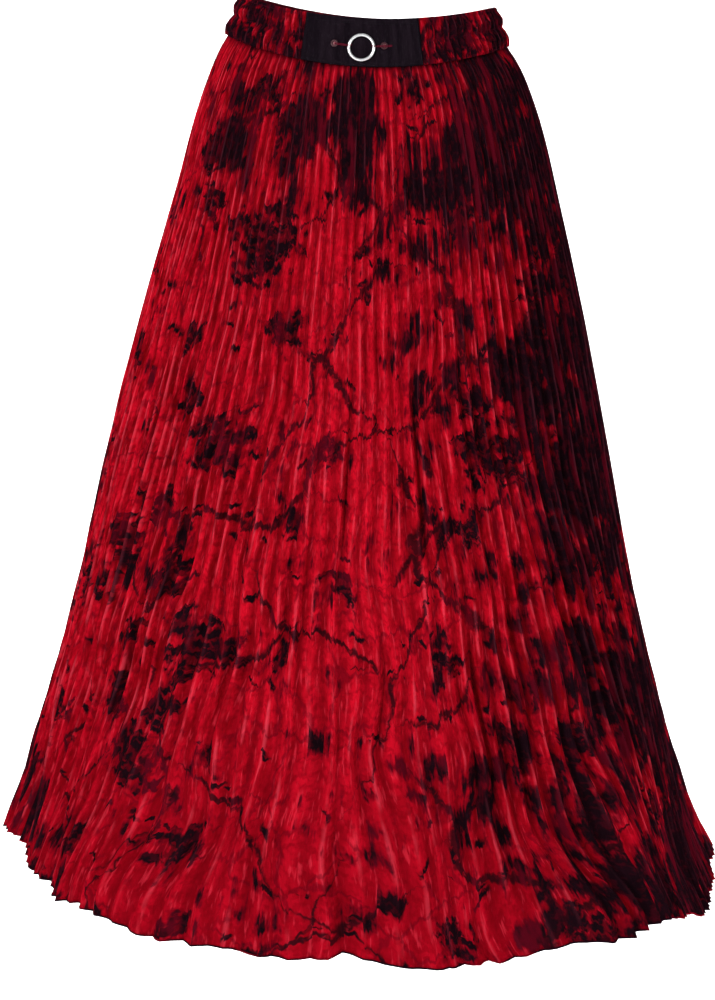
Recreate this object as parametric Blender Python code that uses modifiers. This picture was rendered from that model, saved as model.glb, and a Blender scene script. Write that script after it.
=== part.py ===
"""Long pleated skirt: two pleated panels on a gathered elastic waistband with a plain front panel.

Metres, +Z up, the front towards -Y. The skirt keeps the hollow form it has when worn. The origin is
the middle of the waist opening, level with the middle of the waistband at the sides. A turn is an
angle round the body in degrees: 0 at the centre front, 90 at the +X side, 180 at the centre back.
"""
import math
from collections import namedtuple

import bpy
from mathutils import Matrix, Vector

SEAM_GAP = 0.0003            # between two pieces that are sewn to each other
WAIST_SEAM_Z = -0.019        # where the skirt is sewn to the waistband, at the sides
WAIST_ROLL = math.radians(2.5)     # the -X side sits higher than the +X side
HEM_ROLL = math.radians(3.4)
FRONT_DIP = 0.022            # how far the waist seam drops at the centre front
BACK_DIP = 0.018             # and at the centre back

PLEATS = 60                  # sharp pleats in each of the two skirt panels
GATHERS = 78                 # small ridges in the elastic part of the waistband

# The skirt from the waist seam to the hem. Widths and depths are half sizes to the pleats' outer
# edges, shift moves the section along X, pleat is a pleat's depth from ridge to valley.
Section = namedtuple("Section", "drop half_width half_depth shift pleat")
SECTIONS = (
    Section(0.000, 0.1385, 0.1065, 0.000, 0.0024),
    Section(0.030, 0.154, 0.121, 0.001, 0.0028),
    Section(0.080, 0.172, 0.135, 0.001, 0.0036),
    Section(0.155, 0.192, 0.153, 0.000, 0.0044),
    Section(0.265, 0.221, 0.180, -0.003, 0.0056),
    Section(0.400, 0.253, 0.212, -0.007, 0.0070),
    Section(0.535, 0.282, 0.245, -0.009, 0.0082),
    Section(0.670, 0.317, 0.284, -0.010, 0.0088),
    Section(0.765, 0.345, 0.318, -0.009, 0.0084),
    Section(0.824, 0.368, 0.341, -0.005, 0.0072),
)
SKIRT_LENGTH = SECTIONS[-1].drop

# Broad soft folds over several pleats: the turn of a fold's middle, its half spread in degrees, how
# far it stands out and how far it lifts the hem, and the drop at which it begins.
Fold = namedtuple("Fold", "turn spread out rise start")
FOLDS = (
    Fold(-82, 12, 0.004, 0.005, 0.55),
    Fold(-58, 14, -0.006, -0.003, 0.46),
    Fold(-32, 16, 0.008, 0.002, 0.34),
    Fold(-12, 13, -0.004, -0.006, 0.48),
    Fold(1, 6, -0.006, 0.002, 0.55),
    Fold(11, 10, 0.010, 0.001, 0.40),
    Fold(33, 18, -0.009, 0.003, 0.34),
    Fold(54, 14, 0.007, 0.011, 0.44),
    Fold(76, 15, -0.005, -0.006, 0.50),
    Fold(84, 34, 0.000, -0.026, 0.45),
    Fold(103, 14, 0.010, -0.005, 0.38),
    Fold(128, 15, -0.009, 0.005, 0.44),
    Fold(151, 13, 0.009, -0.003, 0.36),
    Fold(176, 16, -0.010, 0.004, 0.40),
    Fold(203, 15, 0.010, -0.004, 0.32),
    Fold(229, 14, -0.008, 0.004, 0.46),
    Fold(252, 13, 0.007, -0.002, 0.40),
)

# The pleats swing towards the sides on their way down: by how much, and from which fraction of the
# length to which.
Swing = namedtuple("Swing", "degrees start end")
SWINGS = (
    Swing(9.0, 0.35, 0.85),
    Swing(8.0, 0.74, 1.06),
)
PLEAT_WANDER = 0.20          # how far a pleat's edge strays, as a fraction of half a pleat
PLEAT_UNEVENNESS = 0.18      # how much the pleats' depths differ from each other
SIDE_PLEAT_GAIN = 0.35       # how much deeper the pleats are at the sides of the hem

WAIST_WALL = 0.0017          # the pleated wall, measured straight in towards the body
HEM_WALL = 0.0021

# The waistband, outside sizes.
BAND_SEAM_HALF_WIDTH = 0.1395
BAND_SEAM_HALF_DEPTH = 0.1075
BAND_TOP_HALF_WIDTH = 0.1265
BAND_TOP_HALF_DEPTH = 0.0975
BAND_HEIGHT = 0.038          # of the gathered part
FRONT_EXTRA_HEIGHT = 0.0070  # what the flat front panel adds at the centre
BAND_WALL = 0.0024
FRONT_PANEL_TURN = 25.0      # the plain panel reaches this far to each side
FRONT_PANEL_COLUMNS = 30
FRONT_PANEL_ROWS = (0.0, 0.25, 0.5, 0.75, 1.0)

# The elastic lies in two channels, so the gathers are pinched at the edges and at the middle.
Gather = namedtuple("Gather", "height ridge")
GATHER_ROWS = (
    Gather(0.00, 0.0009),
    Gather(0.25, 0.0026),
    Gather(0.50, 0.0010),
    Gather(0.75, 0.0026),
    Gather(1.00, 0.0012),
)

# The metal ring and the two eyelets beside it.
RING_WIRE_RADIUS = 0.0015
RING_RADIUS = 0.0118         # to the middle of the wire
RING_HEIGHT = 0.387          # fraction of the panel's height
EYELET_RADIUS = 0.0032
EYELET_THICKNESS = 0.0016
EYELET_EDGE = 0.0005
EYELET_HEIGHT = 0.436
LEFT_EYELET_TURN = -11.0
RIGHT_EYELET_TURN = 9.2


def smooth(value, low, high):
    """0 up to low, 1 from high, and a soft step between them."""
    t = min(max((value - low) / (high - low), 0.0), 1.0)
    return t * t * (3.0 - 2.0 * t)


def slope(column, row):
    """The slope of a column of SECTIONS at a row, from the rows beside it."""
    before = SECTIONS[max(row - 1, 0)]
    after = SECTIONS[min(row + 1, len(SECTIONS) - 1)]
    return (getattr(after, column) - getattr(before, column)) / (after.drop - before.drop)


def section_value(column, drop):
    """A column of SECTIONS at any drop, on a smooth curve through the rows."""
    row = 0
    while row < len(SECTIONS) - 2 and drop > SECTIONS[row + 1].drop:
        row += 1
    upper = SECTIONS[row]
    lower = SECTIONS[row + 1]
    span = lower.drop - upper.drop
    t = (drop - upper.drop) / span
    start = getattr(upper, column)
    end = getattr(lower, column)
    return (
        start * (1 + 2 * t) * (1 - t) ** 2
        + end * t * t * (3 - 2 * t)
        + span * slope(column, row) * t * (1 - t) ** 2
        - span * slope(column, row + 1) * t * t * (1 - t)
    )


def turn_apart(turn, other):
    """The signed difference of two turns, in degrees, the short way round."""
    return (turn - other + 180.0) % 360.0 - 180.0


def fold_values(turn, drop):
    """How far the broad folds move the cloth out and up at a turn and a drop."""
    out = 0.0
    rise = 0.0
    for fold in FOLDS:
        apart = abs(turn_apart(turn, fold.turn)) / fold.spread
        if apart < 1.0:
            weight = math.cos(apart * math.pi / 2) ** 2 * smooth(drop, fold.start, SKIRT_LENGTH)
            out += fold.out * weight
            rise += fold.rise * weight * weight
    return out, rise


def waist_dip(turn):
    """How far the waist seam lies below its sides."""
    forward = math.cos(math.radians(turn))
    return (FRONT_DIP if forward > 0 else BACK_DIP) * forward * forward


def seam_z(turn):
    """The height of the waist seam."""
    side = math.sin(math.radians(turn))
    return WAIST_SEAM_Z - math.tan(WAIST_ROLL) * BAND_SEAM_HALF_WIDTH * side - waist_dip(turn)


def oval_point(turn, half_width, half_depth, shift, out, z):
    """A point on an oval section, moved out along the section's normal."""
    side = math.sin(math.radians(turn))
    front = math.cos(math.radians(turn))
    normal = Vector((side / half_width, -front / half_depth, 0.0)).normalized()
    return Vector((shift + half_width * side, -half_depth * front, z)) + normal * out


def skirt_point(turn, drop, out):
    """A point of the pleated cloth, measured out from the pleats' outer edges."""
    fall = drop / SKIRT_LENGTH
    swung = sum(swing.degrees * smooth(fall, swing.start, swing.end) for swing in SWINGS)
    turn += swung * math.sin(math.radians(2 * turn))
    half_width = section_value("half_width", drop)
    fold_out, rise = fold_values(turn, drop)
    side = math.sin(math.radians(turn))
    settle = smooth(fall, 0.0, 0.6)
    roll = math.tan(HEM_ROLL) * half_width - math.tan(WAIST_ROLL) * BAND_SEAM_HALF_WIDTH
    z = seam_z(turn) - drop - settle * (roll * side - waist_dip(turn)) + rise
    half_depth = section_value("half_depth", drop)
    return oval_point(turn, half_width, half_depth, section_value("shift", drop), out + fold_out, z)


def band_point(turn, height, out):
    """A point of the waistband, measured out from its outer face; height runs from 0 to 1."""
    front = max(math.cos(math.radians(turn)), 0.0)
    half_width = BAND_SEAM_HALF_WIDTH + (BAND_TOP_HALF_WIDTH - BAND_SEAM_HALF_WIDTH) * height
    half_depth = BAND_SEAM_HALF_DEPTH + (BAND_TOP_HALF_DEPTH - BAND_SEAM_HALF_DEPTH) * height
    band_height = BAND_HEIGHT + FRONT_EXTRA_HEIGHT * front * front
    z = seam_z(turn) + SEAM_GAP + band_height * height
    return oval_point(turn, half_width, half_depth, 0.0, out, z)


def material(name, colour, roughness, metallic=0.0):
    """A Principled material of one colour."""
    made = bpy.data.materials.new(name)
    made.use_nodes = True
    shader = made.node_tree.nodes["Principled BSDF"]
    shader.inputs["Base Color"].default_value = (*colour, 1.0)
    shader.inputs["Roughness"].default_value = roughness
    shader.inputs["Metallic"].default_value = metallic
    return made


def cloth_wall(name, outer, inner, surface):
    """A closed wall between two grids of points, each a list of rows from top to bottom."""
    rows = len(outer)
    columns = len(outer[0])
    points = [point for grid in (outer, inner) for row in grid for point in row]
    inside = rows * columns

    def outside_vertex(row, column):
        return row * columns + column

    faces = []
    for row in range(rows - 1):
        for column in range(columns - 1):
            a = outside_vertex(row, column)
            b = outside_vertex(row + 1, column)
            c = outside_vertex(row + 1, column + 1)
            d = outside_vertex(row, column + 1)
            faces += [(a, b, c), (a, c, d)]
            faces += [(inside + a, inside + c, inside + b), (inside + a, inside + d, inside + c)]
    top = [outside_vertex(0, column) for column in range(columns)]
    right = [outside_vertex(row, columns - 1) for row in range(rows)]
    bottom = [outside_vertex(rows - 1, column) for column in reversed(range(columns))]
    left = [outside_vertex(row, 0) for row in reversed(range(rows))]
    for edge in (top, right, bottom, left):
        for start, end in zip(edge, edge[1:]):
            faces += [(start, end, inside + end), (start, inside + end, inside + start)]
    mesh = bpy.data.meshes.new(name)
    mesh.from_pydata(points, [], faces)
    mesh.validate()
    mesh.materials.append(surface)
    piece = bpy.data.objects.new(name, mesh)
    skirt_collection.objects.link(piece)
    return piece


def pleated_panel(name, first_turn, surface):
    """Half of the skirt, from one side seam to the other, in sharp pleats."""
    columns = 2 * PLEATS
    half_pleat = 180.0 / columns
    outer = []
    inner = []
    for section in SECTIONS:
        fall = section.drop / SKIRT_LENGTH
        wall = WAIST_WALL + (HEM_WALL - WAIST_WALL) * fall
        seam_trim = math.degrees(SEAM_GAP / 2 / section.half_depth)
        outer_row = []
        inner_row = []
        for column in range(columns + 1):
            across = math.sin(math.pi * column / columns)
            strayed = column + PLEAT_WANDER * across * math.sin(2.3 * column + 1.7 * math.sin(0.6 * column))
            turn = first_turn + half_pleat * strayed
            turn = min(max(turn, first_turn + seam_trim), first_turn + 180.0 - seam_trim)
            side = math.sin(math.radians(turn)) ** 2
            depth = section.pleat * (1 + SIDE_PLEAT_GAIN * side * fall)
            depth *= 1 + PLEAT_UNEVENNESS * across * math.sin(1.9 * column)
            out = 0.0 if column % 2 else -depth
            outer_row.append(skirt_point(turn, section.drop, out))
            inner_row.append(skirt_point(turn, section.drop, out - wall))
        outer.append(outer_row)
        inner.append(inner_row)
    return cloth_wall(name, outer, inner, surface)


def gathered_band(name, surface):
    """The elastic part of the waistband, round the sides and the back."""
    columns = 2 * GATHERS
    trim = math.degrees(SEAM_GAP / BAND_SEAM_HALF_WIDTH)
    first_turn = FRONT_PANEL_TURN + trim
    last_turn = 360.0 - FRONT_PANEL_TURN - trim
    outer = []
    inner = []
    for gather in reversed(GATHER_ROWS):
        outer_row = []
        inner_row = []
        for column in range(columns + 1):
            turn = first_turn + (last_turn - first_turn) * column / columns
            out = 0.0 if column % 2 else -gather.ridge
            outer_row.append(band_point(turn, gather.height, out))
            inner_row.append(band_point(turn, gather.height, out - BAND_WALL))
        outer.append(outer_row)
        inner.append(inner_row)
    return cloth_wall(name, outer, inner, surface)


def front_panel(name, surface):
    """The smooth dark panel at the front of the waistband."""
    outer = []
    inner = []
    for height in reversed(FRONT_PANEL_ROWS):
        turns = [
            FRONT_PANEL_TURN * (2 * column / FRONT_PANEL_COLUMNS - 1)
            for column in range(FRONT_PANEL_COLUMNS + 1)
        ]
        outer.append([band_point(turn, height, 0.0) for turn in turns])
        inner.append([band_point(turn, height, -BAND_WALL) for turn in turns])
    return cloth_wall(name, outer, inner, surface)


def on_front_panel(turn, height, lift):
    """A frame on the front panel: X along it, Y up it, Z out of it, lifted off its face."""
    point = band_point(turn, height, 0.0)
    along = (band_point(turn + 0.5, height, 0.0) - band_point(turn - 0.5, height, 0.0)).normalized()
    up = (band_point(turn, height + 0.01, 0.0) - band_point(turn, height - 0.01, 0.0)).normalized()
    out = along.cross(up).normalized()
    up = out.cross(along)
    frame = Matrix((along, up, out)).transposed().to_4x4()
    frame.translation = point + out * lift
    return frame


def place(piece, name, frame, surface):
    """Names a new primitive, puts it on its frame and moves it to the skirt's collection."""
    piece.name = name
    piece.data.name = name
    piece.matrix_world = frame
    piece.data.materials.append(surface)
    for collection in piece.users_collection:
        collection.objects.unlink(piece)
    skirt_collection.objects.link(piece)
    piece.data.shade_smooth()
    return piece


def metal_ring(name, surface):
    """The round wire ring on the middle of the front panel."""
    bpy.ops.mesh.primitive_torus_add(
        major_segments=32, minor_segments=8, major_radius=RING_RADIUS, minor_radius=RING_WIRE_RADIUS
    )
    frame = on_front_panel(0.0, RING_HEIGHT, RING_WIRE_RADIUS + SEAM_GAP)
    return place(bpy.context.object, name, frame, surface)


def eyelet(name, turn, surface):
    """A small round eyelet with a rounded edge."""
    bpy.ops.mesh.primitive_cylinder_add(vertices=16, radius=EYELET_RADIUS, depth=EYELET_THICKNESS)
    frame = on_front_panel(turn, EYELET_HEIGHT, EYELET_THICKNESS / 2 + SEAM_GAP)
    piece = place(bpy.context.object, name, frame, surface)
    bevel = piece.modifiers.new("rounded edge", "BEVEL")
    bevel.width = EYELET_EDGE
    bevel.segments = 2
    return piece


for old in list(bpy.data.objects):
    bpy.data.objects.remove(old)
skirt_collection = bpy.data.collections.new("pleated_skirt")
bpy.context.scene.collection.children.link(skirt_collection)

printed_satin = material("printed_satin", (0.50, 0.010, 0.035), 0.42)
band_cloth = material("gathered_print", (0.30, 0.012, 0.040), 0.50)
plain_cloth = material("plain_black", (0.022, 0.021, 0.026), 0.70)
polished_metal = material("polished_metal", (0.82, 0.82, 0.84), 0.12, metallic=1.0)
red_enamel = material("red_enamel", (0.23, 0.030, 0.050), 0.30)

pleated_panel("skirt_front", -90.0, printed_satin)
pleated_panel("skirt_back", 90.0, printed_satin)
gathered_band("waistband_elastic", band_cloth)
front_panel("waistband_front", plain_cloth)
metal_ring("ring", polished_metal)
eyelet("eyelet_left", LEFT_EYELET_TURN, red_enamel)
eyelet("eyelet_right", RIGHT_EYELET_TURN, red_enamel)
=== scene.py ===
import math
from collections import namedtuple

import bpy
import numpy as np
from mathutils import Matrix, Vector


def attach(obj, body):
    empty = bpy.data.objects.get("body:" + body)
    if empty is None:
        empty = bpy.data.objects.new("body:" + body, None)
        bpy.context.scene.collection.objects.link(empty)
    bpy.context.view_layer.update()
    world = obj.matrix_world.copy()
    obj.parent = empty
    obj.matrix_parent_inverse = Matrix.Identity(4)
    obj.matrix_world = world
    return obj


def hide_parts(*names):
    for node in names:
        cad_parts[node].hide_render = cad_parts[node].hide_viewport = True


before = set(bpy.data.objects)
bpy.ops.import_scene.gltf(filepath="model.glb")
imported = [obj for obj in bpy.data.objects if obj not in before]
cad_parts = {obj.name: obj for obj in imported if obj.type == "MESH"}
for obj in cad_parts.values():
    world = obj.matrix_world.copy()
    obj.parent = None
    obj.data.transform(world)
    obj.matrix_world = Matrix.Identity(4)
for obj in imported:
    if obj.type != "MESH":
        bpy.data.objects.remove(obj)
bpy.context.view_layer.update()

# --- The two pleated skirt panels -----------------------------------------------------------------
# Two panels of thin printed satin, each cut as a quarter-circle flounce and set in sharp sunray pleats
# that crinkle and wander towards the hem. They are sewn to each other down both sides.

# Sizes are in metres. A turn is an angle round the body in degrees: 0 at the centre front, 90 at the
# +X side. A drop is measured down the cloth from the waist seam.
SEAM_GAP = 0.00004           # left open between two pieces that are sewn together
WAIST_SEAM_Z = -0.019        # at the sides of the body, before the roll
WAIST_ROLL = math.radians(2.5)
HEM_ROLL = math.radians(3.4)
FRONT_DIP = 0.022            # how much lower the waist seam hangs in front, and behind
BACK_DIP = 0.018
BAND_SEAM_HALF_WIDTH = 0.1395

# Oval sections through the pleats' outer edges: the drop, half the width and half the depth, how far
# the middle lies towards +X, and how deep the pleats are.
Section = namedtuple("Section", "drop half_width half_depth shift pleat")
SECTIONS = (
    Section(0.000, 0.1385, 0.1065, 0.000, 0.0024),
    Section(0.030, 0.154, 0.121, 0.001, 0.0028),
    Section(0.080, 0.172, 0.135, 0.001, 0.0036),
    Section(0.155, 0.192, 0.153, 0.000, 0.0044),
    Section(0.265, 0.221, 0.180, -0.003, 0.0056),
    Section(0.400, 0.253, 0.212, -0.007, 0.0070),
    Section(0.535, 0.282, 0.245, -0.009, 0.0082),
    Section(0.670, 0.317, 0.284, -0.010, 0.0088),
    Section(0.765, 0.345, 0.318, -0.009, 0.0084),
    Section(0.824, 0.368, 0.341, -0.005, 0.0072),
)
SKIRT_LENGTH = SECTIONS[-1].drop

# Folds of the hem: the turn of the middle and half the width in degrees, how far out and up the edge
# lies there, and the drop where the fold starts.
Fold = namedtuple("Fold", "turn spread out rise start")
FOLDS = (
    Fold(-82, 12, 0.004, 0.005, 0.55),
    Fold(-58, 14, -0.006, -0.003, 0.46),
    Fold(-32, 16, 0.008, 0.002, 0.34),
    Fold(-12, 13, -0.004, -0.006, 0.48),
    Fold(1, 6, -0.006, 0.002, 0.55),
    Fold(11, 10, 0.010, 0.001, 0.40),
    Fold(33, 18, -0.009, 0.003, 0.34),
    Fold(54, 14, 0.007, 0.011, 0.44),
    Fold(76, 15, -0.005, -0.006, 0.50),
    Fold(84, 34, 0.000, -0.026, 0.45),
    Fold(103, 14, 0.010, -0.005, 0.38),
    Fold(128, 15, -0.009, 0.005, 0.44),
    Fold(151, 13, 0.009, -0.003, 0.36),
    Fold(176, 16, -0.010, 0.004, 0.40),
    Fold(203, 15, 0.010, -0.004, 0.32),
    Fold(229, 14, -0.008, 0.004, 0.46),
    Fold(252, 13, 0.007, -0.002, 0.40),
)
# Narrow folds at the hem's corners, where a few pleats lie over their neighbours, and two wide ones
# that let the hem hang lower at the left of the front.
CORNER_FOLDS = (
    Fold(-95, 9, -0.002, -0.024, 0.62),
    Fold(-84, 10, 0.000, -0.018, 0.64),
    Fold(-73, 8, -0.014, 0.000, 0.66),
    Fold(-58, 4, -0.008, 0.004, 0.70),
    Fold(-57, 30, 0.000, -0.012, 0.60),
    Fold(-50, 5, 0.007, -0.002, 0.66),
    Fold(-28, 30, 0.000, -0.009, 0.60),
    Fold(40, 10, 0.000, 0.009, 0.62),
    Fold(71, 5, -0.003, 0.001, 0.66),
    Fold(96, 5, -0.009, 0.004, 0.66),
    Fold(262, 5, -0.009, 0.004, 0.66),
)
# The pleats swing outwards on their way down, a little from the middle on and more near the hem.
Swing = namedtuple("Swing", "degrees start end")
SWINGS = (Swing(9.0, 0.35, 0.85), Swing(8.0, 0.74, 1.06))

PLEATS = 60                  # in each panel
FLANKS = 2 * PLEATS
FLANK_STEPS = 4              # mesh columns over one flank of a pleat
ROWS = 160                   # mesh rows from the waist to the hem
PLEAT_WANDER = 0.20          # how far a pleat's edge strays from its place, in flanks
PLEAT_UNEVENNESS = 0.18      # how much deeper or shallower a pleat is than its neighbours, as a share
SIDE_PLEAT_GAIN = 0.35       # how much deeper the pleats are at the sides of the hem, as a share
HEM_PLEAT_LOSS = 0.55        # how much shallower some pleats are at the hem, as a share
CALM = 0.75                  # how much flatter the cloth lies on the right of the front, as a share
CREASE_DEPTH = 0.32          # of a crease across a flank, as a share of the pleat's depth
CREASE_TALL = 0.060
CREASE_DRAW = 3
FLANK_JUMP = 1.37            # sets the random marks of one flank apart from those of the next
HEM_SWELL = 0.0075           # how far the cloth near the hem swells in and out
HEM_SIDE_SWELL = 0.0045      # and how much more at the sides
HEM_STRAY = 0.0035           # how much longer or shorter the cloth is at the hem
TOP_TUCK = 0.0014            # how far the top edge is drawn in under the band
TOP_TUCK_DROP = 0.012
WALL = 0.0012                # the cloth with its turned edges, measured straight in
HEM_WALL = 0.0007

# Random unevenness of the cloth: its draw, how many flanks wide and how many metres tall it is, and
# its amount at the waist and how much that grows on the way to the hem.
Grain = namedtuple("Grain", "draw flanks tall waist growth")
SWAY = Grain(0, 8.0, 0.080, 0.12, 1.05)            # of the pleats to the side, in flanks
QUICK_SWAY = Grain(1, 3.1, 0.050, 0.0, 0.34)
DEPTH_CHANGE = Grain(2, 2.6, 0.085, 0.25, 0.60)    # of the pleats, as a share
CRUMPLE = Grain(4, 0.95, 0.045, 0.0002, 0.0016)
CRINKLE = Grain(5, 0.55, 0.022, 0.0001, 0.0008)
SWELL = Grain(6, 5.3, 0.30, 1.0, 0.0)
STRAY = Grain(7, 3.4, 0.30, 1.0, 0.0)
EASE = Grain(8, 6.5, 0.60, 1.0, 0.0)


def smooth(value, low, high):
    """0 up to low, 1 from high, and a soft step between them."""
    t = np.clip((value - low) / (high - low), 0.0, 1.0)
    return t * t * (3.0 - 2.0 * t)


def turn_apart(turn, other):
    """How far a turn lies from another one, from -180 to 180 degrees."""
    return (turn - other + 180.0) % 360.0 - 180.0


def section_value(column, drop):
    """A column of SECTIONS at any drop, on a smooth curve through the rows."""
    drops = np.array([section.drop for section in SECTIONS])
    values = np.array([getattr(section, column) for section in SECTIONS])
    slopes = np.empty(len(values))
    slopes[1:-1] = (values[2:] - values[:-2]) / (drops[2:] - drops[:-2])
    slopes[0] = (values[1] - values[0]) / (drops[1] - drops[0])
    slopes[-1] = (values[-1] - values[-2]) / (drops[-1] - drops[-2])
    row = np.clip(np.searchsorted(drops, drop, side="right") - 1, 0, len(values) - 2)
    span = drops[row + 1] - drops[row]
    t = (drop - drops[row]) / span
    return (
        values[row] * (1 + 2 * t) * (1 - t) ** 2
        + values[row + 1] * t * t * (3 - 2 * t)
        + span * slopes[row] * t * (1 - t) ** 2
        - span * slopes[row + 1] * t * t * (1 - t)
    )


def uneven(seed, across, down):
    """Smooth random values from -1 to 1 that change over about 1 unit of across and of down."""
    left = math.floor(across.min()) - 1
    top = math.floor(down.min()) - 1
    size = (math.ceil(down.max()) - top + 3, math.ceil(across.max()) - left + 3)
    grid = np.random.default_rng(seed).uniform(-1.0, 1.0, size)
    column = np.floor(across - left).astype(int)
    row = np.floor(down - top).astype(int)
    x = across - left - column
    y = down - top - row
    x = x * x * (3 - 2 * x)
    y = y * y * (3 - 2 * y)
    upper = grid[row, column] * (1 - x) + grid[row, column + 1] * x
    lower = grid[row + 1, column] * (1 - x) + grid[row + 1, column + 1] * x
    return upper * (1 - y) + lower * y


def waist_dip(turn):
    """How far the waist seam lies below its sides."""
    forward = np.cos(np.radians(turn))
    return np.where(forward > 0, FRONT_DIP, BACK_DIP) * forward * forward


def seam_z(turn):
    """The height of the waist seam."""
    side = np.sin(np.radians(turn))
    return WAIST_SEAM_Z - math.tan(WAIST_ROLL) * BAND_SEAM_HALF_WIDTH * side - waist_dip(turn)


def oval_point(turn, half_width, half_depth, shift, out, z):
    """Points on oval sections, moved out along the sections' normals."""
    side = np.sin(np.radians(turn))
    front = np.cos(np.radians(turn))
    across = side / half_width
    ahead = -front / half_depth
    size = np.hypot(across, ahead)
    x = shift + half_width * side + out * across / size
    y = -half_depth * front + out * ahead / size
    return np.stack([x, y, np.broadcast_to(z, x.shape)], axis=-1)


def skirt_point(turn, drop, out):
    """Points of the pleated cloth, measured out from the pleats' outer edges."""
    fall = drop / SKIRT_LENGTH
    swung = sum(swing.degrees * smooth(fall, swing.start, swing.end) for swing in SWINGS)
    turn = turn + swung * np.sin(np.radians(2 * turn))
    half_width = section_value("half_width", drop)
    rise = 0.0
    for fold in FOLDS + CORNER_FOLDS:
        apart = np.abs(turn_apart(turn, fold.turn)) / fold.spread
        weight = np.where(apart < 1.0, np.cos(apart * math.pi / 2) ** 2, 0.0)
        weight = weight * smooth(drop, fold.start, SKIRT_LENGTH)
        out = out + fold.out * weight
        rise = rise + fold.rise * weight * weight
    side = np.sin(np.radians(turn))
    settle = smooth(fall, 0.0, 0.6)
    roll = math.tan(HEM_ROLL) * half_width - math.tan(WAIST_ROLL) * BAND_SEAM_HALF_WIDTH
    z = seam_z(turn) - drop - settle * (roll * side - waist_dip(turn)) + rise
    half_depth = section_value("half_depth", drop)
    return oval_point(turn, half_width, half_depth, section_value("shift", drop), out, z)


def grain(kind, seed, column, drop):
    """One kind of unevenness at the points of a panel."""
    amount = kind.waist + kind.growth * (drop / SKIRT_LENGTH)
    return amount * uneven(seed + kind.draw, column / kind.flanks, drop / kind.tall)


def off_seams(column):
    """0 at the side seams and 1 from a few flanks off them, for what has to stop at the seams."""
    return np.clip(8 * np.sin(math.pi * column / FLANKS), 0.0, 1.0)


def calm_at(turn):
    """Less than 1 on the right of the front, where the pleats and the hem lie flatter."""
    return 1 - CALM * smooth(turn, 25.0, 50.0) * (1 - smooth(turn, 88.0, 110.0))


def pleat_turn(first_turn, column, drop, seed):
    """The turns of a panel's points: the pleats sway more towards the hem and stop at the seams."""
    whole = np.arange(FLANKS + 1)
    across = np.sin(math.pi * whole / FLANKS)
    strayed = whole + PLEAT_WANDER * across * np.sin(2.3 * whole + 1.7 * np.sin(0.6 * whole))
    sway = grain(SWAY, seed, column, drop) + grain(QUICK_SWAY, seed, column, drop)
    turn = first_turn + 90.0 / PLEATS * (np.interp(column, whole, strayed) + sway * off_seams(column))
    trim = np.degrees(SEAM_GAP / 2 / section_value("half_depth", drop))
    return np.clip(turn, first_turn + trim, first_turn + 180.0 - trim)


def pleat_depth(turn, column, drop, seed):
    """How deep the pleats are at a panel's points, no two of them quite the same."""
    fall = drop / SKIRT_LENGTH
    side = np.sin(np.radians(turn)) ** 2
    depth = section_value("pleat", drop) * (1 + SIDE_PLEAT_GAIN * side * fall)
    depth = depth * (1 - 0.40 * (1 - calm_at(turn)) * smooth(fall, 0.80, 1.0))
    valley = 2 * np.round(column / 2)
    across = np.sin(math.pi * valley / FLANKS)
    depth = depth * (1 + PLEAT_UNEVENNESS * across * np.sin(1.9 * valley))
    depth = depth * (1 + grain(DEPTH_CHANGE, seed, column, drop))
    eased = smooth(grain(EASE, seed, column, drop), -0.15, 0.45)
    return depth * (1 - HEM_PLEAT_LOSS * eased * smooth(fall, 0.70, 1.0))


def pleated_cloth(first_turn, column, drop, seed):
    """The outer face of a panel: points for every pleat column and drop of a grid."""
    fall = drop / SKIRT_LENGTH
    middle = off_seams(column)
    turn = pleat_turn(first_turn, column, drop, seed)
    depth = pleat_depth(turn, column, drop, seed)

    ridge = 1 - np.abs(column % 2 - 1)
    crease = uneven(seed + CREASE_DRAW, np.floor(column) * FLANK_JUMP, drop / CREASE_TALL)
    crease = crease * (1 - np.abs(2 * (column % 1) - 1))
    out = -depth * (1 - ridge) + depth * CREASE_DEPTH * crease * smooth(fall, 0.03, 0.25)
    out = out + (grain(CRUMPLE, seed, column, drop) + grain(CRINKLE, seed, column, drop)) * middle

    near_hem = smooth(fall, 0.78, 1.0) * middle
    side = np.sin(np.radians(turn)) ** 2
    calm = calm_at(turn)
    swell = (HEM_SWELL + HEM_SIDE_SWELL * side) * calm * near_hem
    out = out + swell * grain(SWELL, seed, column, drop)
    out = out - TOP_TUCK * (1 - smooth(drop, 0.0, TOP_TUCK_DROP))
    drop = drop + HEM_STRAY * calm * near_hem * grain(STRAY, seed, column, drop)
    return skirt_point(turn, drop, out)


def fine_panel(first_turn, seed):
    """A panel's outer face, its inner face half as fine, and the column and drop of each point."""
    columns = FLANKS * FLANK_STEPS
    column, drop = np.meshgrid(
        np.arange(columns + 1) / FLANK_STEPS, SKIRT_LENGTH * np.arange(ROWS + 1) / ROWS
    )
    outer = pleated_cloth(first_turn, column, drop, seed)
    turn = np.radians(first_turn + 180.0 * column / FLANKS)
    inward = np.stack([-np.sin(turn), np.cos(turn), np.zeros_like(turn)], axis=-1)
    wall = WALL + (HEM_WALL - WALL) * smooth(drop / SKIRT_LENGTH, 0.90, 1.0)
    inner = (outer + inward * wall[..., None])[::2, ::2]
    return outer, inner, column, drop


# The print's own coordinates: the panel laid out as a ring sector in metres, as it is seen.
PRINT_ANGLE = 0.87
PRINT_TOP_RADIUS = 0.44
PRINT_STEP = 3.0             # from one piece to the next on the print, so that no two are alike
FLANK_STEP = 200.0           # and in the count of their flanks


def cloth_place(column, drop, panel):
    """Where a point of a panel lies on the printed cloth."""
    angle = (column / FLANKS - 0.5) * PRINT_ANGLE
    radius = PRINT_TOP_RADIUS + drop
    return np.stack([radius * np.sin(angle) + PRINT_STEP * panel, radius * np.cos(angle)], axis=-1)


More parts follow.
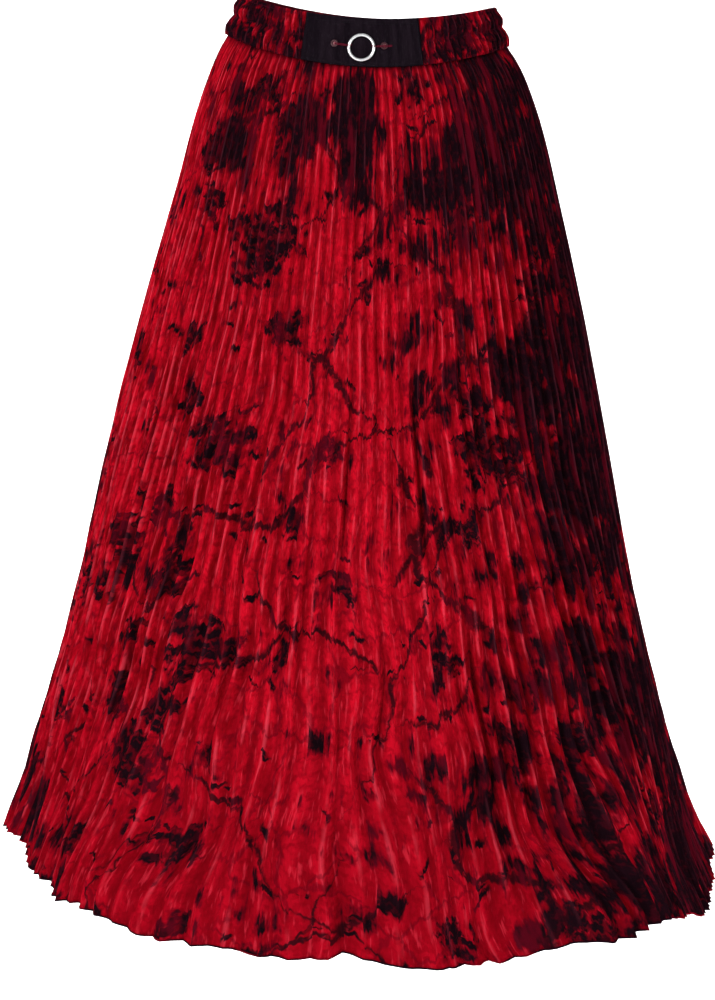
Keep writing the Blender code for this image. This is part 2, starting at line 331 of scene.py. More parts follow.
# Dark washes of dye: the turn and drop of the middle, how wide (degrees) and tall, how dark.
Wash = namedtuple("Wash", "turn drop wide tall dark")
WASHES = (
    Wash(70, 0.10, 60, 0.17, 1.00),
    Wash(80, 0.36, 56, 0.30, 1.00),
    Wash(78, 0.62, 56, 0.20, 0.92),
    Wash(75, 0.80, 50, 0.16, 0.74),
    Wash(86, 0.22, 20, 0.20, 1.25),
    Wash(62, 0.79, 15, 0.09, 1.05),
    Wash(88, 0.74, 26, 0.16, 1.00),
    Wash(26, 0.10, 20, 0.12, 0.74),
    Wash(-46, 0.08, 18, 0.08, 0.62),
    Wash(0, 0.06, 11, 0.10, 0.92),
    Wash(-20, 0.05, 14, 0.08, 0.52),
    Wash(-80, 0.44, 12, 0.10, 0.55),
    Wash(-84, 0.72, 12, 0.08, 0.50),
    Wash(-58, 0.78, 14, 0.06, 0.58),
    Wash(118, 0.30, 18, 0.40, 0.70),
    Wash(140, 0.60, 16, 0.12, 0.45),
    Wash(170, 0.10, 14, 0.08, 0.60),
    Wash(205, 0.46, 14, 0.10, 0.45),
    Wash(236, 0.16, 18, 0.12, 0.60),
    Wash(250, 0.68, 14, 0.10, 0.45),
)


def wash_at(turn, drop):
    """How much dark dye there is at a turn and a drop."""
    total = np.zeros(np.broadcast(turn, drop).shape)
    for wash in WASHES:
        aside = turn_apart(turn, wash.turn) / wash.wide
        below = (drop - wash.drop) / wash.tall
        total = np.maximum(total, wash.dark * np.exp(-aside * aside - below ** 2))
    return total


def in_scene(name, mesh):
    """The mesh as an object of the scene."""
    piece = bpy.data.objects.new(name, mesh)
    bpy.context.scene.collection.objects.link(piece)
    return piece


def sewn_shell(name, outer, inner, maps, wash, materials):
    """A closed mesh between a fine outer grid and an inner grid that may be half as fine."""
    rows, columns = outer.shape[0] - 1, outer.shape[1] - 1
    step = columns // (inner.shape[1] - 1)
    outer_ids = np.arange(outer.shape[0] * outer.shape[1]).reshape(outer.shape[:2])
    inner_ids = outer_ids.size + np.arange(inner.shape[0] * inner.shape[1]).reshape(inner.shape[:2])

    def quads(ids, turned):
        a, b, c, d = ids[:-1, :-1], ids[1:, :-1], ids[1:, 1:], ids[:-1, 1:]
        order = (a, d, c, b) if turned else (a, b, c, d)
        return np.stack(order, axis=-1).reshape(-1, 4)

    outer_quads = quads(outer_ids, False)
    inner_quads = quads(inner_ids, True)
    edges = (
        (outer_ids[0], inner_ids[0]),
        (outer_ids[:, -1], inner_ids[:, -1]),
        (outer_ids[-1, ::-1], inner_ids[-1, ::-1]),
        (outer_ids[::-1, 0], inner_ids[::-1, 0]),
    )
    rim = []
    for near, far in edges:
        for index in range(len(far) - 1):
            first = index * step
            for offset in range(step):
                corner = far[index] if offset < (step + 1) // 2 else far[index + 1]
                rim.append((near[first + offset], near[first + offset + 1], corner))
            rim.append((near[first + (step + 1) // 2], far[index + 1], far[index]))
    rim = np.array(rim)

    points = np.concatenate([outer.reshape(-1, 3), inner.reshape(-1, 3)])
    mesh = bpy.data.meshes.new(name)
    mesh.from_pydata(points.tolist(), [], outer_quads.tolist() + inner_quads.tolist() + rim.tolist())
    for surface in materials:
        mesh.materials.append(surface)
    marks = np.concatenate(
        [np.zeros(len(outer_quads), int), np.ones(len(inner_quads), int), np.zeros(len(rim), int)]
    )
    mesh.polygons.foreach_set("material_index", marks.astype(np.int32))
    soft = np.arange(len(marks)) < len(marks) - len(rim)
    mesh.polygons.foreach_set("use_smooth", soft)
    corners = np.concatenate([outer_quads.ravel(), inner_quads.ravel(), rim.ravel()])
    inside = corners >= outer_ids.size

    for map_name, place in maps.items():
        layer = mesh.uv_layers.new(name=map_name, do_init=False)
        layer.uv.foreach_set("vector", place(corners, inside).astype(np.float32).ravel())
    # The wash: how dark the dye is, and on the band's inner face painted shade as well.
    amount = mesh.attributes.new("wash", "FLOAT", "POINT")
    amount.data.foreach_set("value", wash.astype(np.float32))
    mesh.validate()
    return in_scene(name, mesh)


HALF_GREY = (0.5, 0.5, 0.5)


class Bench:
    """Lays out the shader nodes of one finish and joins them up."""

    def __init__(self, name):
        self.finish = bpy.data.materials.new(name)
        self.finish.use_nodes = True
        self.tree = self.finish.node_tree
        self.surface = self.tree.nodes["Principled BSDF"].inputs

    def put(self, target, value):
        if isinstance(value, bpy.types.NodeSocket):
            self.tree.links.new(value, target)
        else:
            target.default_value = value

    def add(self, kind, inputs=(), **settings):
        node = self.tree.nodes.new("ShaderNode" + kind)
        for name, value in settings.items():
            setattr(node, name, value)
        for key, value in dict(inputs).items():
            self.put(node.inputs[key], value)
        return node

    def calc(self, operation, first, second=0.0, third=0.0):
        node = self.add("Math", operation=operation)
        for socket, value in zip(node.inputs, (first, second, third)):
            self.put(socket, value)
        return node.outputs[0]

    def step(self, value, low, high, bottom=0.0, top=1.0):
        """bottom below low, top above high, soft between."""
        names = ("Value", "From Min", "From Max", "To Min", "To Max")
        inputs = dict(zip(names, (value, low, high, bottom, top)))
        return self.add("MapRange", inputs, interpolation_type="SMOOTHSTEP").outputs[0]

    def vector(self, operation, first, second=(0.0, 0.0, 0.0)):
        node = self.add("VectorMath", operation=operation)
        self.put(node.inputs[0], first)
        self.put(node.inputs[1], second)
        return node.outputs["Value" if operation in ("LENGTH", "DOT_PRODUCT") else "Vector"]

    def blend(self, amount, first, second):
        """A colour between first and second."""
        node = self.add("Mix", data_type="RGBA")
        for index, value in ((0, amount), (6, first), (7, second)):
            if index and not isinstance(value, bpy.types.NodeSocket):
                value = (*value, 1.0)
            self.put(node.inputs[index], value)
        return node.outputs[2]

    def layers(self, colour, *coats):
        """The colour with coats of (share, colour) laid over it in turn."""
        for share, coat in coats:
            colour = self.blend(share, colour, coat)
        return colour

    def noise(self, place, scale, detail=2.0, rough=0.5, out="Fac"):
        inputs = {"Vector": place, "Scale": scale, "Detail": detail, "Roughness": rough}
        return self.add("TexNoise", inputs, noise_dimensions="2D").outputs[out]

    def solid_noise(self, place, scale, detail):
        return self.add("TexNoise", {"Vector": place, "Scale": scale, "Detail": detail}).outputs["Fac"]

    def stretched(self, place, x, y):
        return self.vector("MULTIPLY", place, (x, y, 1.0))

    def stretched_noise(self, place, x, y, detail, rough=0.5):
        return self.noise(self.stretched(place, x, y), 1.0, detail, rough)

    def rotated(self, place, angle):
        inputs = {"Vector": place, "Angle": angle}
        return self.add("VectorRotate", inputs, rotation_type="Z_AXIS").outputs[0]

    def strayed(self, place, scale, amount):
        """The place, moved at random by up to about half of amount."""
        aside = self.vector("SUBTRACT", self.noise(place, scale, 2.0, 0.5, "Color"), HALF_GREY)
        return self.vector("ADD", place, self.vector("MULTIPLY", aside, (amount, amount, 0.0)))

    def cells(self, place, scale, randomness, feature="F1"):
        inputs = {"Vector": place, "Scale": scale, "Randomness": randomness}
        return self.add("TexVoronoi", inputs, voronoi_dimensions="2D", feature=feature)

    def split(self, value):
        return self.add("SeparateXYZ", {"Vector": value}).outputs

    def most(self, *values):
        result = values[0]
        for value in values[1:]:
            result = self.calc("MAXIMUM", result, value)
        return result

    def coat(self, colour, roughness, height=None, distance=0.0, strength=1.0):
        """Ends a matt finish: its colour, its roughness and, where there is one, its relief."""
        self.put(self.surface["Base Color"], colour)
        self.put(self.surface["Roughness"], roughness)
        self.put(self.surface["Specular IOR Level"], 0.0)
        if height is not None:
            bump = self.add("Bump", {"Height": height, "Distance": distance, "Strength": strength})
            self.put(self.surface["Normal"], bump.outputs[0])
        return self.finish


# How far neighbouring flanks slip against each other on the print, in the washes and in the motifs.
WASH_SLIP = (0.014, 0.044, 0.0)
MOTIF_SLIP = (0.004, 0.013, 0.0)
SMEAR = 0.008
PRINT_SQUASH = 0.86          # down the cloth
MIDDLE_FLANK = 61.0          # at the middle of the front

# What the finish is worked out from at a point: its place in the pleats, how many decimetres down the
# cloth it is, how many flanks from the front's middle and how near a ridge, its flank's slip, its
# places on the print, and random marks that run down the pleats.
Lie = namedtuple("Lie", "pleat down middle ridge slip washes even motifs streak thread crimp grain")


def lie_of(bench):
    """Where a point of the cloth lies, and the marks there."""
    laid = bench.add("UVMap", uv_map="cloth").outputs[0]
    pleat = bench.add("UVMap", uv_map="pleats").outputs[0]
    across, down, _ = bench.split(pleat)
    flank = bench.calc("MULTIPLY", bench.calc("FLOOR", across), FLANK_JUMP)
    flank = bench.add("CombineXYZ", {"X": flank, "Y": down}).outputs[0]
    slip = bench.vector("SUBTRACT", bench.noise(flank, 1.0, 1.0, 0.5, "Color"), HALF_GREY)
    smear = bench.calc("SUBTRACT", bench.stretched_noise(pleat, 2.6, 0.9, 1.0), 0.5)
    smear = bench.add("CombineXYZ", {"Y": bench.calc("MULTIPLY", smear, SMEAR)}).outputs[0]

    def slipped(amount):
        moved = bench.vector("ADD", laid, bench.vector("MULTIPLY", slip, amount))
        return bench.stretched(bench.vector("ADD", moved, smear), 1.0, PRINT_SQUASH)

    even = slipped(MOTIF_SLIP)
    return Lie(
        pleat=pleat,
        down=down,
        middle=bench.calc("ABSOLUTE", bench.calc("SUBTRACT", across, MIDDLE_FLANK)),
        ridge=bench.calc("PINGPONG", across, 1.0),
        slip=bench.split(slip)[2],
        washes=slipped(WASH_SLIP),
        even=even,
        motifs=bench.strayed(bench.strayed(even, 20.0, 0.030), 110.0, 0.007),
        streak=bench.stretched_noise(pleat, 1.15, 2.4, 3.0, 0.65),
        thread=bench.stretched_noise(pleat, 3.2, 4.2, 2.0, 0.6),
        crimp=bench.stretched_noise(pleat, 1.1, 8.0, 2.0, 0.6),
        grain=bench.noise(even, 230.0, 1.0),
    )


def washes_of(bench, lie, shift, cloud_scale):
    """The cloudy dye: how far it is black, and how far it is at least wine red."""
    cloud = bench.noise(lie.washes, cloud_scale, 5.0, 0.60)
    dark = bench.add("Attribute", attribute_name="wash").outputs["Fac"]
    blob = bench.cells(lie.motifs, 3.0 * cloud_scale, 1.0).outputs["Distance"]
    dark = bench.calc("MULTIPLY_ADD", bench.calc("SUBTRACT", cloud, 0.5), 1.8, dark)
    dark = bench.calc("MULTIPLY_ADD", bench.calc("SUBTRACT", lie.streak, 0.5), 1.2, dark)
    dark = bench.calc("MULTIPLY_ADD", lie.slip, 0.7, dark)
    dark = bench.calc("MULTIPLY_ADD", bench.calc("SUBTRACT", 0.42, blob), 0.70, dark)
    dark = bench.calc("ADD", dark, bench.step(lie.middle, 6.0, 22.0, shift - 0.07, shift - 0.01))
    dark = bench.calc("ADD", dark, bench.step(lie.down, 5.5, 7.5, 0.0, 0.08))
    return bench.step(dark, 0.43, 0.58), bench.step(dark, 0.24, 0.50)


FlowerKind = namedtuple("FlowerKind", "size share x y")
FLOWER_KINDS = (FlowerKind(0.085, 0.30, 0.0, 0.0), FlowerKind(0.052, 0.22, 7.3, 1.9))
PETALS = 5.0
HEAD_REACH = 0.285           # of a head, as a share of its cell
PETAL_REACH = 0.055
RAGGED_EDGE = 0.46
FLORET_EDGE = 0.22
FLORET_SIZE = 0.42


def flower_heads(bench, place, ragged, floret, size, share):
    """Heads of small florets, each head in its own cell: their ink and its soft edge."""
    cell = bench.cells(place, 1.0 / size, 0.80)
    chance = bench.split(cell.outputs["Color"])
    away = bench.vector("SUBTRACT", place, cell.outputs["Position"])
    x, y, _ = bench.split(away)
    grown = bench.calc("MULTIPLY", bench.calc("MULTIPLY_ADD", chance[2], 0.5, 0.72), size)
    reach = bench.calc("DIVIDE", bench.vector("LENGTH", away), grown)
    turned = bench.calc("MULTIPLY_ADD", chance[0], math.tau, bench.calc("ARCTAN2", y, x))
    petals = bench.calc("COSINE", bench.calc("MULTIPLY", turned, PETALS))
    depth = bench.calc("SUBTRACT", bench.calc("MULTIPLY_ADD", petals, PETAL_REACH, HEAD_REACH), reach)
    depth = bench.calc("MULTIPLY_ADD", ragged, RAGGED_EDGE, depth)
    round_floret = bench.calc("SUBTRACT", FLORET_SIZE, floret)
    depth = bench.calc("MULTIPLY_ADD", round_floret, FLORET_EDGE, depth)
    there = bench.calc("LESS_THAN", chance[1], share)
    ink = bench.calc("MULTIPLY", bench.step(depth, -0.005, 0.050), there)
    ink = bench.calc("MULTIPLY", ink, bench.step(floret, FLORET_SIZE, 0.62, 1.0, 0.60))
    return ink, bench.calc("MULTIPLY", bench.step(depth, -0.090, 0.020), there)


def flowers_of(bench, lie):
    """All the flower heads, fewer in the front's middle: their ink, and the wine red round them."""
    bloom = bench.most(bench.step(lie.middle, 5.0, 15.0, 0.30, 1.0), bench.step(lie.down, 6.0, 7.5))
    ragged = bench.calc("SUBTRACT", bench.noise(lie.even, 75.0, 3.0, 0.62), 0.5)
    floret = bench.cells(lie.motifs, 125.0, 1.0).outputs["Distance"]
    inks = []
    halos = []
    for kind in FLOWER_KINDS:
        place = bench.vector("ADD", lie.motifs, (kind.x, kind.y, 0.0))
        share = bench.calc("MULTIPLY", bloom, kind.share)
        ink, halo = flower_heads(bench, place, ragged, floret, kind.size, share)
        inks.append(ink)
        halos.append(halo)
    # The halo follows the painted lit and shaded streaks: strong where they are painted shaded, weak where
    # they are painted lit.
    wear_and_lit_streaks = bench.step(lie.streak, 0.36, 0.62, 0.85, 0.35)
    return bench.most(*inks), bench.calc("MULTIPLY", bench.most(*halos), wear_and_lit_streaks)


Twig = namedtuple("Twig", "angle apart draw")
TWIGS = (Twig(0.62, 0.19, 3.1), Twig(-0.95, 0.25, 8.7), Twig(1.25, 0.30, 5.2))
TWIG_HALF_WIDTH = 0.0026


def twigs_of(bench, place):
    """Long wavy twigs, thinning out here and there: their ink, and how near a point is to one."""
    inks = []
    near = []
    for twig in TWIGS:
        lain = bench.rotated(place, twig.angle)
        wavy = bench.noise(bench.vector("ADD", lain, (twig.draw, twig.draw, 0.0)), 7.0, 1.0)
        beside = bench.calc("MULTIPLY_ADD", wavy, 0.10, bench.split(lain)[1])
        beside = bench.calc("SUBTRACT", bench.calc("PINGPONG", beside, twig.apart / 2), twig.apart / 4)
        off = bench.calc("ABSOLUTE", beside)
        gate = bench.noise(bench.vector("ADD", lain, (twig.draw, 0.0, 0.0)), 6.0, 1.0)
        width = bench.step(gate, 0.44, 0.60, 0.0, TWIG_HALF_WIDTH)
        inks.append(bench.step(bench.calc("SUBTRACT", off, width), -0.0012, 0.0010, 0.90, 0.0))
        near.append(bench.step(off, 0.006, 0.018, bench.calc("MULTIPLY", width, 200.0), 0.0))
    return bench.most(*inks), bench.most(*near)


LeafKind = namedtuple("LeafKind", "scale long slim share x y")
LEAF_KINDS = (
    LeafKind(27.0, 0.0095, 2.4, 0.09, 0.0, 0.0),
    LeafKind(52.0, 0.0060, 2.5, 0.10, 3.7, 5.1),
)


def leaves_of(bench, motifs, near_twig):
    """Small pointed leaves strewn at random, longer than wide, and more of them along the twigs."""
    inks = []
    for kind in LEAF_KINDS:
        place = bench.vector("ADD", motifs, (kind.x, kind.y, 0.0))
        cell = bench.cells(place, kind.scale, 1.0)
        chance = bench.split(cell.outputs["Color"])
        away = bench.vector("SUBTRACT", place, cell.outputs["Position"])
        away = bench.rotated(away, bench.calc("MULTIPLY", chance[0], math.tau))
        leaf = bench.vector("LENGTH", bench.stretched(away, 1.0, kind.slim))
        leaf = bench.step(leaf, 0.55 * kind.long, 1.10 * kind.long, 1.0, 0.0)
        share = bench.calc("ADD", near_twig, kind.share)
        inks.append(bench.calc("MULTIPLY", leaf, bench.calc("LESS_THAN", chance[1], share)))
    return bench.most(*inks)


def print_of(bench, lie, wash_shift, cloud_scale):
    """The print: its black ink, and the wine red of its washes, halos and cracks, with painted shade in the
    same wine red along the waist seam.
    """
    wash_ink, wine = washes_of(bench, lie, wash_shift, cloud_scale)
    flower, halo = flowers_of(bench, lie)
    twig, near_twig = twigs_of(bench, lie.motifs)
    leaf = leaves_of(bench, lie.motifs, near_twig)
    speck = bench.calc("MULTIPLY_ADD", wash_ink, 0.30, 0.58)
    speck = bench.step(lie.grain, 0.56, 0.70, 1.0, speck)
    ink = bench.calc("MULTIPLY", bench.most(wash_ink, flower, leaf, twig), speck)

    crack = bench.cells(lie.motifs, 30.0, 1.0, "DISTANCE_TO_EDGE").outputs[0]
    crack = bench.step(crack, 0.020, 0.060, 1.0, 0.0)
    crack = bench.calc("MULTIPLY", crack, bench.step(bench.noise(lie.washes, 14.0, 2.0), 0.45, 0.55))
    wine = bench.most(bench.calc("MULTIPLY", wine, 0.88), bench.calc("MULTIPLY", crack, 0.55), halo)
    # Painted shade at the waist seam: the top of the skirt's pieces and the foot of the band.
    return ink, bench.most(wine, bench.step(lie.down, 0.0, 0.07, 0.75, 0.0))


SHADED_RED = (0.15, 0.0012, 0.003)
LIT_RED = (0.53, 0.0038, 0.016)
LIT_MIDDLE_RED = (0.65, 0.0052, 0.020)
GRAIN_RED = (0.20, 0.0012, 0.004)
VALLEY_SHADE_RED = (0.12, 0.0010, 0.003)
HEM_RED = (0.20, 0.0010, 0.006)
CRIMP_SHADE_RED = (0.15, 0.0009, 0.004)
SHEEN_LINE_RED = (0.68, 0.026, 0.052)
GLINT_RED = (0.88, 0.070, 0.115)
WINE_AND_SEAM_SHADE_RED = (0.100, 0.0014, 0.006)
DEEP_BLACK = (0.0026, 0.0019, 0.0027)
THIN_BLACK = (0.013, 0.0030, 0.0060)
STAIN_RED = (0.100, 0.0022, 0.0088)
CRIMP_BAR_RED = (0.085, 0.0022, 0.0080)
GLINT_BLACK = (0.068, 0.011, 0.019)
WRONG_SIDE_RED = (0.16, 0.008, 0.018)


def satin_red(bench, lie, wine, glint):
    """The satin's red, darker near the hem, with painted light and shade: lit and shaded streaks down the
    pleats, light at the front's middle, shade in the valleys and crinkles, sheen lines and highlights on the
    ridges.
    """
    # Painted shade in the pleats' valleys, deeper near the waist.
    valley = bench.calc("SUBTRACT", 1.0, bench.step(lie.ridge, 0.0, 0.75))
    return bench.layers(
        # Painted lit and shaded streaks down the pleats: LIT_RED where the streak marks are high, SHADED_RED
        # where they are low.
        bench.blend(bench.step(lie.streak, 0.30, 0.66), SHADED_RED, LIT_RED),
        # Painted light: the red is lighter at the front's middle.
        (bench.step(lie.middle, 0.0, 24.0, 0.40, 0.0), LIT_MIDDLE_RED),
        (bench.step(lie.grain, 0.46, 0.72, 0.0, 0.50), GRAIN_RED),
        (bench.calc("MULTIPLY", valley, bench.step(lie.down, 0.2, 2.0, 0.85, 0.55)), VALLEY_SHADE_RED),
        (bench.step(lie.down, 5.0, 8.0, 0.0, 0.50), HEM_RED),
        # Painted shade of small crinkles, in short dark marks down the pleats.
        (bench.step(lie.crimp, 0.52, 0.64, 0.0, 0.42), CRIMP_SHADE_RED),
        # Painted sheen in thin pinkish lines down the pleats.
        (bench.step(lie.thread, 0.58, 0.74, 0.0, 0.42), SHEEN_LINE_RED),
        (bench.calc("MULTIPLY", glint, 0.34), GLINT_RED),
        (wine, WINE_AND_SEAM_SHADE_RED),
    )


def print_black(bench, lie, glint):
    """The print's black, with reddish stains, reddish bars where the crimp marks are low, and a painted dull
    shine on the ridges.
    """
    stain = bench.stretched_noise(lie.pleat, 0.30, 0.95, 4.0, 0.66)
    return bench.layers(
        bench.blend(bench.noise(lie.washes, 60.0, 2.0), DEEP_BLACK, THIN_BLACK),
        (bench.step(stain, 0.54, 0.64, 0.0, 0.70), STAIN_RED),
        (bench.step(lie.crimp, 0.34, 0.46, 0.26, 0.0), CRIMP_BAR_RED),
        (bench.calc("MULTIPLY", glint, 0.60), GLINT_BLACK),
    )


def printed(name, dull, wash_shift, cloud_scale=12.0):
    """Crimson satin with a print of dark flowers, twigs, leaves and washes."""
    bench = Bench(name)
    lie = lie_of(bench)
    ink, wine = print_of(bench, lie, wash_shift, cloud_scale)
    # Painted highlight along the pleats' ridges, weaker near the hem.
    glint = bench.step(bench.stretched_noise(lie.pleat, 0.9, 1.7, 2.0), 0.46, 0.66)
    glint = bench.calc("MULTIPLY", bench.step(lie.ridge, 0.74, 0.96), glint)
    glint = bench.calc("MULTIPLY", glint, bench.step(lie.down, 6.0, 8.0, 1.0, 0.6))
    colour = bench.blend(ink, satin_red(bench, lie, wine, glint), print_black(bench, lie, glint))
    if dull:
        colour = bench.blend(dull, colour, WRONG_SIDE_RED)
    roughness = bench.calc("MULTIPLY_ADD", lie.thread, 0.16, 0.20 + dull)
    weave = bench.noise(lie.washes, 2600.0, 0.0)
    crumple = bench.stretched_noise(lie.pleat, 2.2, 4.0, 3.0, 0.6)
    height = bench.calc("MULTIPLY_ADD", crumple, 10.0, weave)
    return bench.coat(colour, roughness, height, 0.00014)


satin = printed("printed_satin_right_side", dull=0.0, wash_shift=-0.05)
satin_inside = printed("printed_satin_wrong_side", dull=0.25, wash_shift=-0.05)

BAKE_EDGE = 0.002            # left free round the bake sheet


def both_faces(grid):
    """The values at all points of a shell: its outer face, then its inner face, half as fine."""
    return np.concatenate([grid.ravel(), grid[::2, ::2].ravel()])


def bake_place(across, up, inside, inner_tall, outer_start, outer_tall):
    """Places on the bake sheet: the inner face in a low strip, the outer face above it."""
    u = BAKE_EDGE + (1 - 2 * BAKE_EDGE) * across
    v = np.where(inside, BAKE_EDGE + inner_tall * up, outer_start + outer_tall * up)
    return np.stack([u, v], axis=-1)


def skirt_panel(name, panel, first_turn, seed):
    """A whole panel with its print, and the lower edge of its outer face."""
    outer, inner, column, drop = fine_panel(first_turn, seed)
    columns = both_faces(column)
    drops = both_faces(drop)

    def cloth_map(corners, inside):
        return cloth_place(columns[corners], drops[corners], panel)

    def pleat_map(corners, inside):
        return np.stack([columns[corners] + FLANK_STEP * panel, drops[corners] * 10.0], axis=-1)

    def bake_map(corners, inside):
        up = 1.0 - drops[corners] / SKIRT_LENGTH
        return bake_place(columns[corners] / FLANKS, up, inside, 0.176, 0.184, 0.814)

    maps = {"OFBake": bake_map, "cloth": cloth_map, "pleats": pleat_map}
    wash = wash_at(first_turn + 180.0 * columns / FLANKS, drops)
    return sewn_shell(name, outer, inner, maps, wash, (satin, satin_inside)), outer[-1]


front, front_edge = skirt_panel("skirt_front_cloth", 0, -90.0, 11)
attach(front, "root")
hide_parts("skirt_front")
back, back_edge = skirt_panel("skirt_back_cloth", 1, 90.0, 31)
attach(back, "root")
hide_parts("skirt_back")

# --- Rolled hem -----------------------------------------------------------------------------------
# The lower edge of each panel is rolled to the inside and sewn down, a thin dark cord of cloth less
# than 2 mm thick that follows every pleat.
HEM_RADIUS = 0.0009
HEM_SIDES = 8


def smooth_piece(name, points, faces, surface):
    """A piece of one finish with smooth shading."""
    mesh = bpy.data.meshes.new(name)
    mesh.from_pydata(points, [], faces)
    mesh.polygons.foreach_set("use_smooth", np.ones(len(faces), bool))
    mesh.materials.append(surface)
    return in_scene(name, mesh)


def unit(vectors):
    """The vectors, each brought to a length of 1."""
    return vectors / np.linalg.norm(vectors, axis=1)[:, None]


def cloth_cord(name, paths, radius, sides, surface):
    """Tubes round paths of points, which run roughly level."""
    points = []
    faces = []
    for path in paths:
        along = unit(np.gradient(path, axis=0))
        up = unit(np.array([0.0, 0.0, 1.0]) - along * along[:, 2:])
        aside = np.cross(along, up)
        angles = np.arange(sides) * math.tau / sides
        rings = path[:, None] + radius * (
            up[:, None] * np.sin(angles)[None, :, None] + aside[:, None] * np.cos(angles)[None, :, None]
        )
        first = len(points)
        last = first + (len(path) - 1) * sides
        points += rings.reshape(-1, 3).tolist()
        for here in range(first, last, sides):
            for side in range(sides):
                beside = (side + 1) % sides
                faces.append((here + side, here + sides + side, here + sides + beside, here + beside))
        faces.append(tuple(range(first, first + sides)))
        faces.append(tuple(reversed(range(last, last + sides))))
    return smooth_piece(name, points, faces, surface)


def hem_finish():
    """The print's darkest parts and its red, drawn together in the narrow roll."""
    bench = Bench("rolled_hem")
    place = bench.add("TexCoord").outputs["Object"]
    patches = bench.solid_noise(place, 14.0, 3.0)
    twist = bench.solid_noise(place, 900.0, 1.0)
    colour = bench.blend(bench.step(patches, 0.50, 0.62), (0.012, 0.002, 0.006), (0.20, 0.002, 0.010))
    colour = bench.blend(bench.step(twist, 0.3, 0.8, 0.0, 0.4), colour, (0.004, 0.001, 0.003))
    return bench.coat(colour, 0.55, twist, 0.0002, 0.8)


rolled = hem_finish()


def hem_of(name, edge):
    """The roll along the lower edge of a panel."""
    inward = unit(-edge * np.array([1.0, 1.0, 0.0]))
    piece = cloth_cord(name, [edge + inward * HEM_WALL / 2], HEM_RADIUS, HEM_SIDES, rolled)
    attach(piece, "root")
    return piece


front_hem = hem_of("hem_front", front_edge)
back_hem = hem_of("hem_back", back_edge)

# --- Gathered waistband ---------------------------------------------------------------------------
# A doubled strip of the printed satin, gathered over two rows of elastic from one end of the front
# panel round the back to the other. A row of stitches between the elastics pinches the gathers.
BAND_SEAM_HALF_DEPTH = 0.1075
BAND_TOP_HALF_WIDTH = 0.1265
BAND_TOP_HALF_DEPTH = 0.0975
BAND_HEIGHT = 0.038
FRONT_EXTRA_HEIGHT = 0.0070
FRONT_PANEL_TURN = 25.0      # at the front panel's ends
GATHERS = 78
GATHER_FLANKS = 2 * GATHERS
GATHER_STEPS = 4             # mesh columns over one flank of a gather
BAND_ROWS = 28
BAND_INNER_FACE = -0.0034
SEAM_ALLOWANCE = 0.0026      # how far the turned-up seam edges stand out on the inside
Gather = namedtuple("Gather", "height ridge puff")
GATHER_ROWS = (
    Gather(0.00, 0.0010, -0.0008),
    Gather(0.08, 0.0026, 0.0006),
    Gather(0.25, 0.0042, 0.0022),
    Gather(0.42, 0.0028, 0.0004),
    Gather(0.50, 0.0014, -0.0016),
    Gather(0.58, 0.0028, 0.0004),
    Gather(0.72, 0.0040, 0.0020),
    Gather(0.86, 0.0022, 0.0002),
    Gather(0.92, 0.0018, -0.0010),
    Gather(0.97, 0.0018, -0.0006),
    Gather(1.00, 0.0010, -0.0016),
)

# Random unevenness of the gathers: its seed, how many flanks wide and how tall it is, as a share of
# the band's height, and its amount.
BandGrain = namedtuple("BandGrain", "seed flanks tall amount")
GATHER_SWAY = BandGrain(71, 5.0, 0.35, 0.60)       # to the side, in flanks
GATHER_CHANGE = BandGrain(72, 2.3, 0.5, 0.45)      # of the depth, as a share
BAND_CRUMPLE = BandGrain(73, 0.9, 0.16, 0.0008)
BAND_SWELL = BandGrain(74, 9.0, 0.8, 0.0012)

# The dye on the band: how dark it is and how far that changes, round the band and from end to end;
# and painted shade that makes the inside darker, where little light falls.
BAND_WASH = 0.53
BAND_WASH_CHANGE = 0.26
BAND_WASH_RISE = 0.11
BAND_INSIDE_SHADE = 0.25
BAND_PRINT_FLANK = 0.0043    # of the print in a flank, flat
BAND_PRINT_HEIGHT = 0.042
BAND_PIECE = 2


def band_point(turn, height, out):
    """Points of the waistband, measured out from its outer face; height runs from 0 to 1."""
    front = np.maximum(np.cos(np.radians(turn)), 0.0)
    half_width = BAND_SEAM_HALF_WIDTH + (BAND_TOP_HALF_WIDTH - BAND_SEAM_HALF_WIDTH) * height
    half_depth = BAND_SEAM_HALF_DEPTH + (BAND_TOP_HALF_DEPTH - BAND_SEAM_HALF_DEPTH) * height
    band_height = BAND_HEIGHT + FRONT_EXTRA_HEIGHT * front * front
    z = seam_z(turn) + SEAM_GAP + band_height * height
    return oval_point(turn, half_width, half_depth, 0.0, out, z)


def band_inside(turn, height):
    """The inner face of a piece of the band, half as fine, with the seam edges at its foot."""
    out = BAND_INNER_FACE - SEAM_ALLOWANCE * (1 - smooth(height, 0.02, 0.22))
    return band_point(turn, height, out)[::2, ::2]


def band_grain(kind, column, height):
    """One kind of unevenness at points of the gathered band, which stops at its ends."""
    middle = np.clip(12 * np.sin(math.pi * column / GATHER_FLANKS), 0.0, 1.0)
    return kind.amount * uneven(kind.seed, column / kind.flanks, height / kind.tall) * middle


